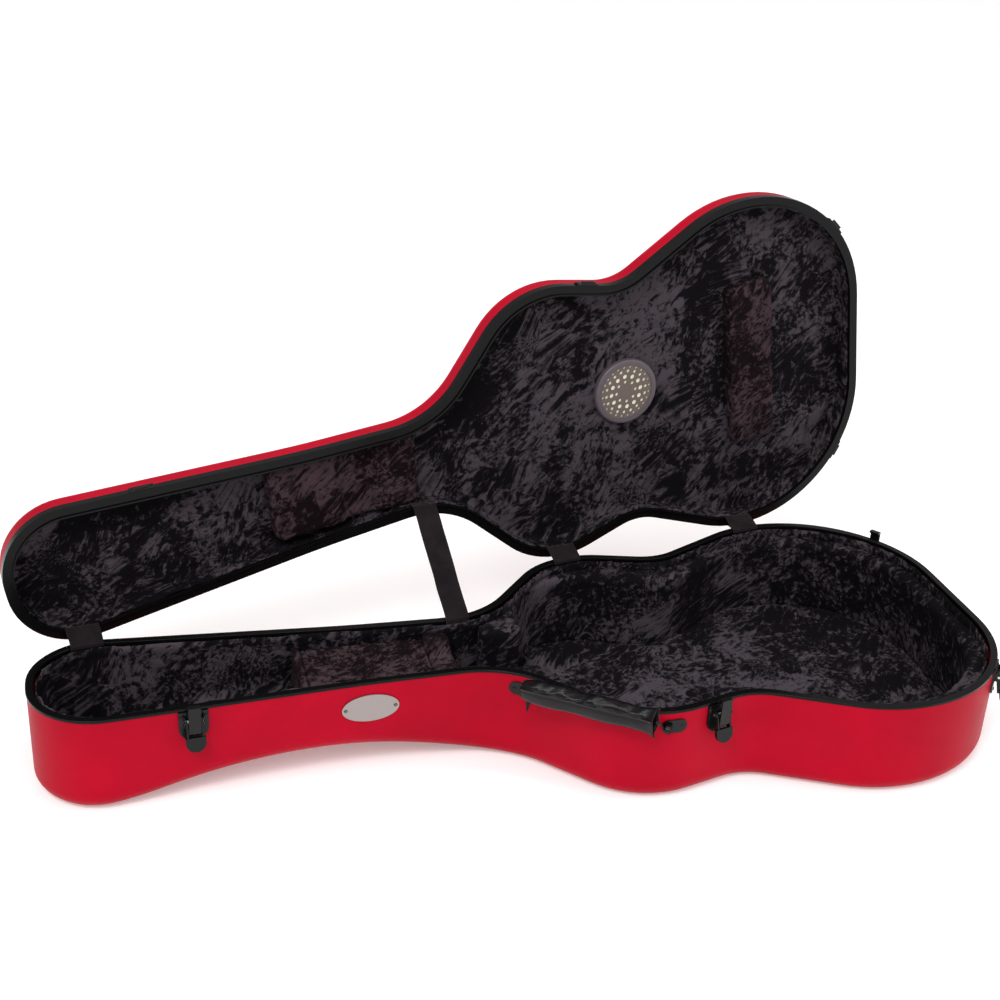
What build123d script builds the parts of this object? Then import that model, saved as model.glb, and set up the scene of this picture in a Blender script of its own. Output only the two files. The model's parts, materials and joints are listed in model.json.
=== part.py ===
from build123d import *
from math import asin, atan2, cos, degrees, hypot, radians, sin, sqrt, tan
import os

os.makedirs("parts", exist_ok=True)

# A hard guitar case that lies on its back with the lid open. The origin is on the flat underside,
# half way along the case: +X points to the tail, +Y to the hinge side and +Z up.

# Outline from above: each section runs from one corner of the outline to the next, from the head end.
head_section = 346
neck_section = 158
shoulder_section = 118
waist_section = 134
bout_section = 135
tail_section = 194
case_length = head_section + neck_section + shoulder_section + waist_section + bout_section + tail_section

# Half width of each corner of the outline, and the radius that rounds it.
head_half, head_radius = 86, 75
bend_half, bend_radius = 61, 1500
neck_half, neck_radius = 56, 108
upper_half, upper_radius = 190, 106
waist_half, waist_radius = 155, 67
lower_half, lower_radius = 222, 156
tail_half, tail_radius = 207, 161

# Base and lid
base_depth = 115
lid_depth = 38
shell_wall = 4
lining = 3
base_edge_radius = 20
lid_edge_radius = 14
lid_gap = 0.3
lid_opening = 90

# The underside rises in an arch below the neck.
arch_start = 82
arch_peak = 288
arch_end = 490
arch_rise = 49
arch_radius = 600
arch_blend = 350

# Rims: two extrusions that cap the walls of the base and the lid
rim_proud = 0.8
rim_cap = 3
base_rim_width = 7.5
rim_rounding = 0.7
lid_rim_width = 11.2
lid_band = 9
tongue_width = 2
tongue_depth = 2
rim_flange = 2
base_flange_depth = 6

# Hinges: drops and rises are measured from the mating plane.
hinge_gap = 5.5
hinge_drop = 9.5
hinge_width = 38
hinge_leaf = 2
knuckle_radius = 3.4
hinge_pin_radius = 1.6
running_gap = 0.05
knuckle_gap = 0.4
lid_knuckle_width = 15
hinge_leaf_drop = 36
hinge_leaf_tall = 20
hinge_leaf_rise = 18
hinge_leaf_corner = 3
hinge_bridge = 15
knuckle_web = 2.6
arm_clearance = 0.6
arm_foot = 5

# Latches: heights are measured down from the mating plane, reaches outwards from the wall.
latch_width = 31
latch_top = 3.5
latch_length = 35
latch_plate = 2.5
cheek_thickness = 1.5
cheek_inner = 9.2
lever_pivot_drop = 13
lever_pivot_reach = 6.3
lever_pin_radius = 1.5
lever_eye = 1.6
cheek_eye = 2
cheek_tall = 11
arm_thickness = 1.8
arm_gap = 0.4
paddle_top = 30
paddle_bottom = 46
paddle_half = 10.5
paddle_thickness = 4
paddle_rounding = 10
hook_pivot_drop = 24
hook_half = 6.4
hook_thickness = 1.8
hook_reach = 7.8
claw_rise = 3.8
claw_height = 2.4
claw_tip_reach = 3
trunnion_radius = 1.4
keeper_width = 27
keeper_thickness = 1.8
catch_width = 15
catch_reach = 5.5
catch_rise = 1.5
catch_height = 2
released_angle = 12
hook_ratio = 1.15

# Rivets and screws
rivet_radius = 1.4
rivet_head_radius = 2.1
rivet_head = 0.9
rivet_bite = 3
rivet_clearance = 0.05

# Carrying handle
handle_drop = 19
handle_start_turn = 53
handle_end_turn = 87
handle_standoff = 8
handle_reach = 33
handle_raise = 42
handle_bar_radius = 2
handle_bend = 2.2
grip_tall = 24
grip_deep = 20
grip_rounding = 6
handle_side_gap = 0.6
lug_radius = 4.6
lug_length = 5
bracket_width = 16
bracket_tail = 17
bracket_plate = 1.6

# Badge
badge_turn = 92.7
badge_drop = 32
badge_length = 63
badge_tall = 33
badge_thickness = 1.5
badge_screw_spacing = 55

# Interior of the base
foam_height = 101
foam_start = 500
heel_slot_half = 36
heel_slot_floor = 30
cavity_start = 548
shoulder_half, shoulder_radius = 139, 88
cavity_upper_station, cavity_upper_half, cavity_upper_radius = 655, 149, 70
cavity_waist_station, cavity_waist_half, cavity_waist_radius = 752, 110, 80
cavity_lower_station, cavity_lower_half, cavity_lower_radius = 870, 191, 130
cavity_end, cavity_end_half, cavity_end_radius = 1058, 181, 138
bed_thickness = 14
soft_gap = 0.4
compartment_start = 285
compartment_wall = 8
compartment_top = 96
neck_rest_start = 432
neck_rest_end = 462
neck_rest_top = 103
neck_scoop_radius = 60
neck_scoop_depth = 9
rail_width = 6
rail_height = 12
box_lid_half = 44
box_lid_thickness = 6
box_pin_radius = 1.5
ribbon_width = 14
ribbon_loop = 12

# Interior of the lid
neck_pad_start = 300
neck_pad_end = 478
neck_pad_half = 46
neck_pad_thickness = 21
neck_dip_start = 384
neck_dip_end = 424
neck_dip_depth = 8
bridge_pad_station = 936
bridge_pad_width = 62
bridge_pad_half = 108
bridge_pad_thickness = 21
vent_station = 762
vent_side = -8
vent_radius = 42
vent_face_radius = 35
vent_height = 11
vent_floor = 3
vent_hole_radii = (1.6, 2.2, 3.0)
vent_rings = ((8, 13, 1), (12, 20, 2), (18, 27, 1), (24, 32, 0))
vent_rounding = 3
grille_thickness = 2

# Stay strap and hinge covers
strap_width = 28
strap_thickness = 1.6
strap_tab = 10
strap_clearance = 0.6
cover_width = 36
cover_thickness = 1.2
cover_tab = 3

mating_plane = base_depth
wall_top = base_depth - rim_cap
lid_bottom = base_depth + lid_gap
lid_wall_bottom = lid_bottom + rim_cap
lid_top = base_depth + lid_depth
hinge_height = mating_plane - hinge_drop
handle_height = mating_plane - handle_drop
badge_height = mating_plane - badge_drop
lining_inset = shell_wall + lining
lining_top = wall_top - base_flange_depth
lid_lining_bottom = lid_bottom + lid_band + 1
ceiling = lid_top - lining_inset
FRONT, BACK = -1, 1
HEAD, BEND, NECK, UPPER, WAIST, LOWER, TAIL = range(7)

stations = [0, head_section]
for section in (neck_section, shoulder_section, waist_section, bout_section, tail_section):
    stations.append(stations[-1] + section)
halves = [head_half, bend_half, neck_half, upper_half, waist_half, lower_half, tail_half]
radii = [head_radius, bend_radius, neck_radius, upper_radius, waist_radius, lower_radius, tail_radius]


def along(station):
    """X of a station that is measured from the head end."""
    return station - case_length / 2


def corner_point(number, side):
    """Corner of the outline before it is rounded."""
    return Vector(along(stations[number]), side * halves[number])


def corner_runs(number, side):
    """Straight runs from a corner of the outline to the corners before and after it."""
    point = corner_point(number, side)
    before = corner_point(number - 1, side) if number > HEAD else corner_point(HEAD, -side)
    after = corner_point(number + 1, side) if number < TAIL else corner_point(TAIL, -side)
    return before - point, after - point


def half_angle(number):
    """Half of the angle between the two runs of a corner."""
    before, after = corner_runs(number, BACK)
    return radians(before.get_angle(after)) / 2


def corner_centre(number, side):
    """Centre of the arc that rounds a corner of the outline."""
    before, after = corner_runs(number, side)
    middle = (before.normalized() + after.normalized()).normalized()
    return corner_point(number, side) + middle * (radii[number] / sin(half_angle(number)))


# A rounding starts this far from its corner. Two neighbours that need more than their run are both reduced.
arc_starts = [radius / tan(half_angle(number)) for number, radius in enumerate(radii)]
arc_room = 0.99
for number in range(len(radii)):
    before, after = corner_runs(number, BACK)
    needed_before = arc_starts[number] + arc_starts[max(number - 1, HEAD)]
    needed_after = arc_starts[number] + arc_starts[min(number + 1, TAIL)]
    fit = arc_room * min(before.length / needed_before, after.length / needed_after)
    radii[number] *= min(1, fit)


def outline(inset=0):
    """The case seen from above, moved inwards by the inset."""
    top_side = [corner_point(number, BACK) for number in range(len(stations))]
    bottom_side = [corner_point(number, FRONT) for number in reversed(range(len(stations)))]
    with BuildSketch() as face:
        with BuildLine():
            FilletPolyline(*top_side, *bottom_side, radius=radii + radii[::-1], close=True)
        make_face()
        if inset:
            offset(amount=-inset)
    return face.sketch


def ring(outer_inset, inner_inset, bottom, top):
    """Solid band that follows the outline between two insets."""
    with BuildPart() as band:
        with BuildSketch(Plane.XY.offset(bottom)):
            add(outline(outer_inset))
            add(outline(inner_inset), mode=Mode.SUBTRACT)
        extrude(amount=top - bottom)
    return band.part


def tub(inset, top):
    """Solid that fills the base inside a wall of the given thickness, above its arched floor."""
    with BuildPart() as body:
        with BuildSketch():
            add(outline(inset))
        extrude(amount=top)
        with BuildSketch(Plane.XZ):
            with BuildLine():
                underside = [
                    (-case_length, inset),
                    (along(arch_start), inset),
                    (along(arch_peak), inset + arch_rise),
                    (along(arch_end), inset),
                    (case_length, inset),
                ]
                FilletPolyline(*underside, radius=[arch_blend, arch_radius, arch_blend])
                Polyline(underside[-1], (case_length, top), (-case_length, top), underside[0])
            make_face()
        extrude(amount=case_length, both=True, mode=Mode.INTERSECT)
        low = body.edges().filter_by(lambda edge: edge.center().Z < inset + arch_rise)
        upright = low.filter_by(Axis.Z)
        across = low.filter_by(Axis.Y).filter_by(
            lambda edge: abs(edge.center().X) < case_length / 2 - inset - 1
        )
        fillet(low - upright - across, base_edge_radius - inset)
    return body.part


def cap(inset, bottom, top):
    """Solid that fills the lid inside a wall of the given thickness, with rounded top edges."""
    with BuildPart() as body:
        with BuildSketch(Plane.XY.offset(bottom)):
            add(outline(inset))
        extrude(amount=top - bottom)
        fillet(body.faces().sort_by(Axis.Z)[-1].edges(), lid_edge_radius - inset)
    return body.part


def wall_plane(point, normal, height):
    """Plane on the outside of the wall: x runs along the wall, y up and z outwards."""
    return Plane(origin=(point.X, point.Y, height), x_dir=Vector(0, 0, 1).cross(normal), z_dir=normal)


def on_corner(number, side, turn, height=0, shift=0):
    """Plane on a rounded corner. The turn is measured from the head end, the shift along the wall."""
    reach = -radii[number] if number in (BEND, NECK, WAIST) else radii[number]
    angle = radians(turn) - side * shift / reach
    normal = Vector(-cos(angle), side * sin(angle))
    return wall_plane(corner_centre(number, side) + normal * reach, normal, height)


def on_side(number, side, station, height=0, shift=0):
    """Plane on the straight side that follows a corner, moved along the wall by the shift."""
    first = corner_point(number, side)
    run = corner_point(number + 1, side) - first
    share = (along(station) - first.X) / run.X - side * shift / run.length
    normal = Vector(-run.Y, run.X).normalized() * side
    return wall_plane(first + run * share, normal, height)


def save(piece, name):
    """Label a finished piece and write it out."""
    piece.label = name
    export_step(piece, f"parts/{name}.step")


def rivet(place, height, places, seat):
    """Domed rivets: the heads stand on a plate and the shanks bite into the wall."""
    locate, number, side, position = place
    with BuildPart() as rivets:
        for shift, rise in places:
            plane = locate(number, side, position, height + rise, shift)
            with BuildSketch(plane.offset(-rivet_bite)):
                Circle(rivet_radius)
            extrude(amount=rivet_bite + seat + rivet_clearance)
            with BuildSketch(plane.offset(seat + rivet_clearance)):
                Circle(rivet_head_radius)
            extrude(amount=rivet_head, taper=30)
    return rivets.part


def shanks(place, height, places):
    """Holes for rivets, through a plate and into the wall."""
    locate, number, side, position = place
    with BuildPart() as holes:
        for shift, rise in places:
            plane = locate(number, side, position, height + rise, shift)
            with BuildSketch(plane.offset(-rivet_bite)):
                Circle(rivet_radius)
            extrude(amount=rivet_bite + 3 * rivet_head_radius)
    return holes.part


# Hinge line: the common tangent of the head and the lower bout, moved outwards.
head_centre = corner_centre(HEAD, BACK)
lower_centre = corner_centre(LOWER, BACK)
centre_run = lower_centre - head_centre
spread = asin((radii[LOWER] - radii[HEAD]) / hypot(centre_run.X, centre_run.Y))
hinge_turn = atan2(centre_run.Y, centre_run.X) + spread
hinge_direction = Vector(cos(hinge_turn), sin(hinge_turn))
hinge_normal = Vector(-sin(hinge_turn), cos(hinge_turn))
hinge_foot = head_centre + hinge_normal * (radii[HEAD] + hinge_gap)
hinge_origin = Vector(hinge_foot.X, hinge_foot.Y, hinge_height)
hinge_axis = Axis(hinge_origin, hinge_direction)


def opened(piece):
    """Turn a piece of the closed lid to where it stands when the lid is open."""
    return piece.rotate(hinge_axis, -lid_opening)


# Places of the fittings on the walls. Each one names the kind of wall, its corner and its side.
latch_places = {
    "head": (on_side, HEAD, FRONT, 165),
    "waist": (on_side, UPPER, FRONT, 712),
    "tail_front": (on_corner, TAIL, FRONT, 143),
    "tail_back": (on_corner, TAIL, BACK, 143),
}
plate_rivets = [(-13.2, -9), (13.2, -9), (0, -34)]
keeper_rivets = [(-10.6, 6), (10.6, 6)]

handle_places = {
    "start": (on_corner, NECK, FRONT, handle_start_turn),
    "end": (on_corner, UPPER, FRONT, handle_end_turn),
}
bracket_rivets = {"start": [(4 - bracket_tail, 0)], "end": [(bracket_tail - 4, 0)]}
handle_start = on_corner(NECK, FRONT, handle_start_turn).origin
handle_end = on_corner(UPPER, FRONT, handle_end_turn).origin
handle_run = (handle_end - handle_start).normalized()
handle_out = Vector(handle_run.Y, -handle_run.X)
handle_span = (handle_end - handle_start).length
handle_pivot = handle_start + handle_out * handle_standoff + Vector(0, 0, handle_height)

badge_place = (on_corner, BEND, FRONT, badge_turn)
badge_screw_places = [(-badge_screw_spacing / 2, 0), (badge_screw_spacing / 2, 0)]

seam_turn = 90 - degrees(hinge_turn)
hinge_places = {
    "head": (on_corner, HEAD, BACK, seam_turn),
    "upper": (on_corner, UPPER, BACK, seam_turn),
    "lower": (on_corner, LOWER, BACK, seam_turn),
}
base_leaf_rivets = [(-13, -28), (13, -28)]
lid_leaf_rivets = [(-13, 24), (13, 24)]

# ---- Base shell ----
with BuildPart() as base_shell:
    add(tub(0, wall_top))
    add(tub(shell_wall, base_depth), mode=Mode.SUBTRACT)
    for place in latch_places.values():
        add(shanks(place, mating_plane, plate_rivets), mode=Mode.SUBTRACT)
    for place in hinge_places.values():
        add(shanks(place, mating_plane, base_leaf_rivets), mode=Mode.SUBTRACT)
    for end, place in handle_places.items():
        add(shanks(place, handle_height, bracket_rivets[end]), mode=Mode.SUBTRACT)
    add(shanks(badge_place, badge_height, badge_screw_places), mode=Mode.SUBTRACT)
save(base_shell.part, "base_shell")

# Base rim: a cap on the wall with a flange inside it
with BuildPart() as base_rim:
    add(ring(-rim_proud, base_rim_width, wall_top, base_depth))
    fillet(base_rim.faces().sort_by(Axis.Z)[-1].edges(), rim_rounding)
    add(ring(shell_wall, shell_wall + rim_flange, lining_top, wall_top))
save(base_rim.part, "base_rim")

# ---- Lid shell ----
with BuildPart() as lid_shell:
    add(cap(0, lid_wall_bottom, lid_top))
    add(cap(shell_wall, lid_bottom, lid_top - shell_wall), mode=Mode.SUBTRACT)
    for place in hinge_places.values():
        add(shanks(place, mating_plane, lid_leaf_rivets), mode=Mode.SUBTRACT)
    for place in latch_places.values():
        add(shanks(place, mating_plane, keeper_rivets), mode=Mode.SUBTRACT)
save(opened(lid_shell.part), "lid_shell")

# Lid rim: a cap with a band outside the wall, a flange inside it and a tongue that enters the base
with BuildPart() as lid_rim:
    add(ring(-rim_proud, lid_rim_width, lid_bottom, lid_wall_bottom))
    add(ring(-rim_proud, 0, lid_wall_bottom, lid_bottom + lid_band))
    add(ring(shell_wall, shell_wall + rim_flange, lid_wall_bottom, lid_bottom + lid_band))
    add(ring(lid_rim_width - tongue_width, lid_rim_width, lid_bottom - tongue_depth, lid_bottom))
    for place in latch_places.values():
        add(shanks(place, mating_plane, keeper_rivets), mode=Mode.SUBTRACT)
save(opened(lid_rim.part), "lid_rim")

# ---- Linings ----
with BuildPart() as base_lining:
    add(tub(shell_wall, lining_top))
    add(tub(lining_inset, base_depth), mode=Mode.SUBTRACT)
save(base_lining.part, "base_lining")

with BuildPart() as lid_lining:
    add(cap(shell_wall, lid_lining_bottom, lid_top - shell_wall))
    add(cap(lining_inset, lid_bottom, ceiling), mode=Mode.SUBTRACT)
save(opened(lid_lining.part), "lid_lining")


# ---- Foam round the body of the guitar ----
def cavity(gap=0):
    """The space for the guitar's body, seen from above."""
    corners = [
        (cavity_start, shoulder_half, shoulder_radius),
        (cavity_upper_station, cavity_upper_half, cavity_upper_radius),
        (cavity_waist_station, cavity_waist_half, cavity_waist_radius),
        (cavity_lower_station, cavity_lower_half, cavity_lower_radius),
        (cavity_end, cavity_end_half, cavity_end_radius),
    ]
    back = [(along(station), half) for station, half, radius in corners]
    front = [(x, -y) for x, y in reversed(back)]
    rounding = [radius for station, half, radius in corners]
    with BuildSketch() as face:
        with BuildLine():
            FilletPolyline(*back, *front, radius=rounding + rounding[::-1], close=True)
        make_face()
        if gap:
            offset(amount=-gap)
    return face.sketch


with BuildPart() as side_foam:
    add(tub(lining_inset, foam_height))
    with BuildSketch():
        add(cavity())
    extrude(amount=base_depth, mode=Mode.SUBTRACT)
    with BuildSketch(Plane.XY.offset(heel_slot_floor)):
        with Locations((along((foam_start + cavity_start) / 2), 0)):
            Rectangle(2 * (cavity_start - foam_start), 2 * heel_slot_half)
    extrude(amount=base_depth, mode=Mode.SUBTRACT)
    with BuildSketch():
        with Locations((along(foam_start) - case_length / 2, 0)):
            Rectangle(case_length, case_length)
    extrude(amount=base_depth, mode=Mode.SUBTRACT)
save(side_foam.part, "side_foam")

with BuildPart() as bed_pad:
    with BuildSketch(Plane.XY.offset(lining_inset)):
        add(cavity(base_edge_radius - lining_inset + soft_gap))
    extrude(amount=bed_thickness)
save(bed_pad.part, "bed_pad")


# ---- Compartment below the neck ----
def slab(start, end, bottom, top):
    """Piece of the lined inside of the base between two stations and two heights."""
    with BuildPart() as piece:
        add(tub(lining_inset, top))
        with BuildSketch(Plane.XY.offset(bottom)):
            with Locations((along((start + end) / 2), 0)):
                Rectangle(end - start, case_length)
        extrude(amount=base_depth, mode=Mode.INTERSECT)
    return piece.part


with BuildPart() as compartment_wall_board:
    add(slab(compartment_start, compartment_start + compartment_wall, 0, compartment_top))
save(compartment_wall_board.part, "compartment_wall")

with BuildPart() as neck_rest:
    add(slab(neck_rest_start, neck_rest_end, 0, neck_rest_top))
    scoop_centre = neck_rest_top - neck_scoop_depth + neck_scoop_radius
    with BuildSketch(Plane.YZ.offset(along(neck_rest_start) - 1)):
        with Locations((0, scoop_centre)):
            Circle(neck_scoop_radius)
    extrude(amount=neck_rest_end - neck_rest_start + 2, mode=Mode.SUBTRACT)
save(neck_rest.part, "neck_rest")

# Rails along both walls carry the compartment lid; the back rail holds its hinge pin in two ears.
box_start = compartment_start + compartment_wall
box_length = neck_rest_start - box_start
box_middle = along((box_start + neck_rest_start) / 2)
box_barrel_radius = box_lid_thickness / 2
lid_underside = compartment_top - box_lid_thickness
pin_side = box_lid_half + box_barrel_radius
pin_height = compartment_top - box_barrel_radius
box_axis = Axis((box_middle, pin_side, pin_height), (1, 0, 0))
box_ear = 6

for rail_name, side in (("front_rail", FRONT), ("back_rail", BACK)):
    with BuildPart() as rail:
        with BuildSketch(Plane.XY.offset(lid_underside - soft_gap - rail_height)):
            with Locations((box_middle, side * (box_lid_half - rail_width / 2 + box_barrel_radius + 2))):
                Rectangle(box_length, rail_width + box_barrel_radius)
        extrude(amount=rail_height)
        if side == BACK:
            for end in (-1, 1):
                with BuildSketch(Plane.YZ.offset(box_middle + end * (box_length - box_ear) / 2)):
                    with Locations((pin_side, pin_height)):
                        Circle(box_barrel_radius)
                    with Locations((pin_side, (pin_height + lid_underside - 1) / 2)):
                        Rectangle(2 * box_barrel_radius, pin_height - lid_underside + 1)
                extrude(amount=box_ear / 2, both=True)
            with BuildSketch(Plane.YZ.offset(box_middle)):
                with Locations((pin_side, pin_height)):
                    Circle(box_pin_radius)
            extrude(amount=box_length / 2, both=True, mode=Mode.SUBTRACT)
    save(rail.part, rail_name)

with BuildPart() as compartment_pin:
    with BuildSketch(Plane.YZ.offset(box_middle)):
        with Locations((pin_side, pin_height)):
            Circle(box_pin_radius)
    extrude(amount=box_length / 2, both=True)
save(compartment_pin.part, "compartment_hinge_pin")

with BuildPart() as compartment_lid:
    with BuildSketch(Plane.XY.offset(lid_underside)):
        with Locations((box_middle, -box_barrel_radius / 2)):
            Rectangle(box_length - 2 * soft_gap, 2 * box_lid_half - box_barrel_radius)
    extrude(amount=box_lid_thickness)
    barrel_length = box_length - 2 * box_ear - 2 * soft_gap
    with BuildSketch(Plane.YZ.offset(box_middle)):
        with Locations((pin_side, pin_height)):
            Circle(box_barrel_radius)
        with Locations((pin_side - box_barrel_radius - 1, compartment_top - box_lid_thickness / 2)):
            Rectangle(2 * box_barrel_radius + 2, box_lid_thickness - 1)
    extrude(amount=barrel_length / 2, both=True)
    with BuildSketch(Plane.YZ.offset(box_middle)):
        with Locations((pin_side, pin_height)):
            Circle(box_pin_radius + running_gap)
    extrude(amount=box_length / 2, both=True, mode=Mode.SUBTRACT)
save(compartment_lid.part, "compartment_lid")

with BuildPart() as pull_ribbon:
    with BuildSketch(Plane.YZ.offset(box_middle)):
        with Locations((-box_lid_half + ribbon_loop, compartment_top)):
            Rectangle(ribbon_loop * 1.5, 1.2, align=(Align.CENTER, Align.MIN))
    extrude(amount=ribbon_width / 2, both=True)
save(pull_ribbon.part, "pull_ribbon")


# ---- Pads of the lid ----
with BuildPart() as neck_pad:
    with BuildSketch(Plane.XY.offset(ceiling - neck_pad_thickness)):
        with Locations((along((neck_pad_start + neck_pad_end) / 2), 0)):
            RectangleRounded(neck_pad_end - neck_pad_start, 2 * neck_pad_half, 10)
    extrude(amount=neck_pad_thickness)
    with BuildSketch(Plane.XY.offset(ceiling - neck_pad_thickness)):
        with Locations((along((neck_dip_start + neck_dip_end) / 2), 0)):
            Rectangle(neck_dip_end - neck_dip_start, 2 * neck_pad_half)
    extrude(amount=neck_dip_depth, mode=Mode.SUBTRACT)
    add(cap(lining_inset + soft_gap, lid_bottom, ceiling), mode=Mode.INTERSECT)
save(opened(neck_pad.part), "neck_pad")

with BuildPart() as bridge_pad:
    with BuildSketch(Plane.XY.offset(ceiling - bridge_pad_thickness)):
        with Locations((along(bridge_pad_station), 0)):
            RectangleRounded(bridge_pad_width, 2 * bridge_pad_half, 10)
    extrude(amount=bridge_pad_thickness)
save(opened(bridge_pad.part), "bridge_pad")

# Humidifier: a shallow plastic cup on the ceiling, a sponge in it and a perforated face
vent_plane = Plane((along(vent_station), vent_side, ceiling), x_dir=(1, 0, 0), z_dir=(0, 0, -1))
with BuildPart() as vent_cup:
    with BuildSketch(vent_plane):
        Circle(vent_radius)
    extrude(amount=vent_height)
    fillet(vent_cup.faces().sort_by(Axis.Z)[0].edges(), vent_rounding)
    with BuildSketch(vent_plane.offset(vent_floor)):
        Circle(vent_face_radius)
    extrude(amount=vent_height, mode=Mode.SUBTRACT)
save(opened(vent_cup.part), "humidifier_cup")

with BuildPart() as vent_sponge:
    with BuildSketch(vent_plane.offset(vent_floor)):
        Circle(vent_face_radius - soft_gap)
    extrude(amount=vent_height - vent_floor - grille_thickness - 1)
save(opened(vent_sponge.part), "humidifier_sponge")

with BuildPart() as vent_grille:
    with BuildSketch(vent_plane.offset(vent_height - grille_thickness - 1)):
        Circle(vent_face_radius)
        for count, spread, size in vent_rings:
            with PolarLocations(spread, count):
                Circle(vent_hole_radii[size], mode=Mode.SUBTRACT)
    extrude(amount=grille_thickness)
save(opened(vent_grille.part), "humidifier_grille")

# ---- Hinges: a base leaf with two knuckles, a lid leaf with one between them, and a pin ----
base_knuckle_width = (hinge_width - lid_knuckle_width) / 2 - knuckle_gap
drop = -hinge_drop
leaf_root = 6
lid_arm_inner = rim_proud + arm_clearance
hinge_pins = Part()
all_rivets = {"base_rivets": [], "lid_rivets": []}
for hinge_name, place in hinge_places.items():
    locate, number, side, turn = place
    plane = locate(number, side, turn, mating_plane)
    section = Plane(origin=plane.origin, x_dir=plane.z_dir, z_dir=-plane.x_dir)
    reach = (hinge_foot - plane.origin).dot(hinge_normal)
    lid_arm_outer = reach - hinge_pin_radius - arm_clearance

    with BuildPart() as base_leaf:
        add(ring(-hinge_leaf, 0, 0, wall_top))
        with BuildSketch(plane):
            with Locations((0, -hinge_leaf_drop)):
                leaf_size = (hinge_width, hinge_leaf_tall, hinge_leaf_corner)
                RectangleRounded(*leaf_size, align=(Align.CENTER, Align.MIN))
        extrude(amount=hinge_width, both=True, mode=Mode.INTERSECT)
        for end in (-1, 1):
            with BuildSketch(section.offset(end * (hinge_width - base_knuckle_width) / 2)):
                with Locations((reach, drop)):
                    Circle(knuckle_radius)
                with Locations((-leaf_root, -hinge_leaf_tall)):
                    Rectangle(leaf_root + hinge_leaf, hinge_bridge, align=(Align.MIN, Align.MIN))
                with Locations((-leaf_root, drop - knuckle_radius)):
                    Rectangle(reach + leaf_root, knuckle_web, align=(Align.MIN, Align.MIN))
            extrude(amount=base_knuckle_width / 2, both=True)
        with BuildSketch(section):
            with Locations((reach, drop)):
                Circle(hinge_pin_radius)
        extrude(amount=hinge_width, both=True, mode=Mode.SUBTRACT)
        with BuildSketch():
            add(outline())
        extrude(amount=base_depth, mode=Mode.SUBTRACT)
        add(shanks(place, mating_plane, base_leaf_rivets), mode=Mode.SUBTRACT)
    save(base_leaf.part, f"hinge_{hinge_name}_base_leaf")

    with BuildPart() as lid_leaf:
        add(ring(-hinge_leaf, 0, mating_plane, lid_top))
        with BuildSketch(plane):
            with Locations((0, lid_band + 1)):
                leaf_size = (hinge_width, hinge_leaf_rise, hinge_leaf_corner)
                RectangleRounded(*leaf_size, align=(Align.CENTER, Align.MIN))
        extrude(amount=hinge_width, both=True, mode=Mode.INTERSECT)
        with BuildSketch(section):
            with Locations((reach, drop)):
                Circle(knuckle_radius)
            with Locations((lid_arm_inner, drop)):
                Rectangle(
                    lid_arm_outer - lid_arm_inner,
                    lid_band + 1 + arm_foot - drop,
                    align=(Align.MIN, Align.MIN),
                )
            with Locations((-leaf_root / 2, lid_band + 1)):
                Rectangle(leaf_root / 2 + lid_arm_outer, arm_foot, align=(Align.MIN, Align.MIN))
        extrude(amount=lid_knuckle_width / 2, both=True)
        with BuildSketch(section):
            with Locations((reach, drop)):
                Circle(hinge_pin_radius + running_gap)
        extrude(amount=hinge_width, both=True, mode=Mode.SUBTRACT)
        with BuildSketch(Plane.XY.offset(lid_bottom + lid_band)):
            add(outline())
        extrude(amount=lid_depth, mode=Mode.SUBTRACT)
        add(shanks(place, mating_plane, lid_leaf_rivets), mode=Mode.SUBTRACT)
    save(opened(lid_leaf.part), f"hinge_{hinge_name}_lid_leaf")

    with BuildPart() as hinge_pin:
        with BuildSketch(section):
            with Locations((reach, drop)):
                Circle(hinge_pin_radius)
        extrude(amount=hinge_width / 2, both=True)
    hinge_pins += hinge_pin.part
    all_rivets["base_rivets"].append(rivet(place, mating_plane, base_leaf_rivets, hinge_leaf))
    all_rivets["lid_rivets"].append(rivet(place, mating_plane, lid_leaf_rivets, hinge_leaf))
save(hinge_pins, "hinge_pins")

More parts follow.
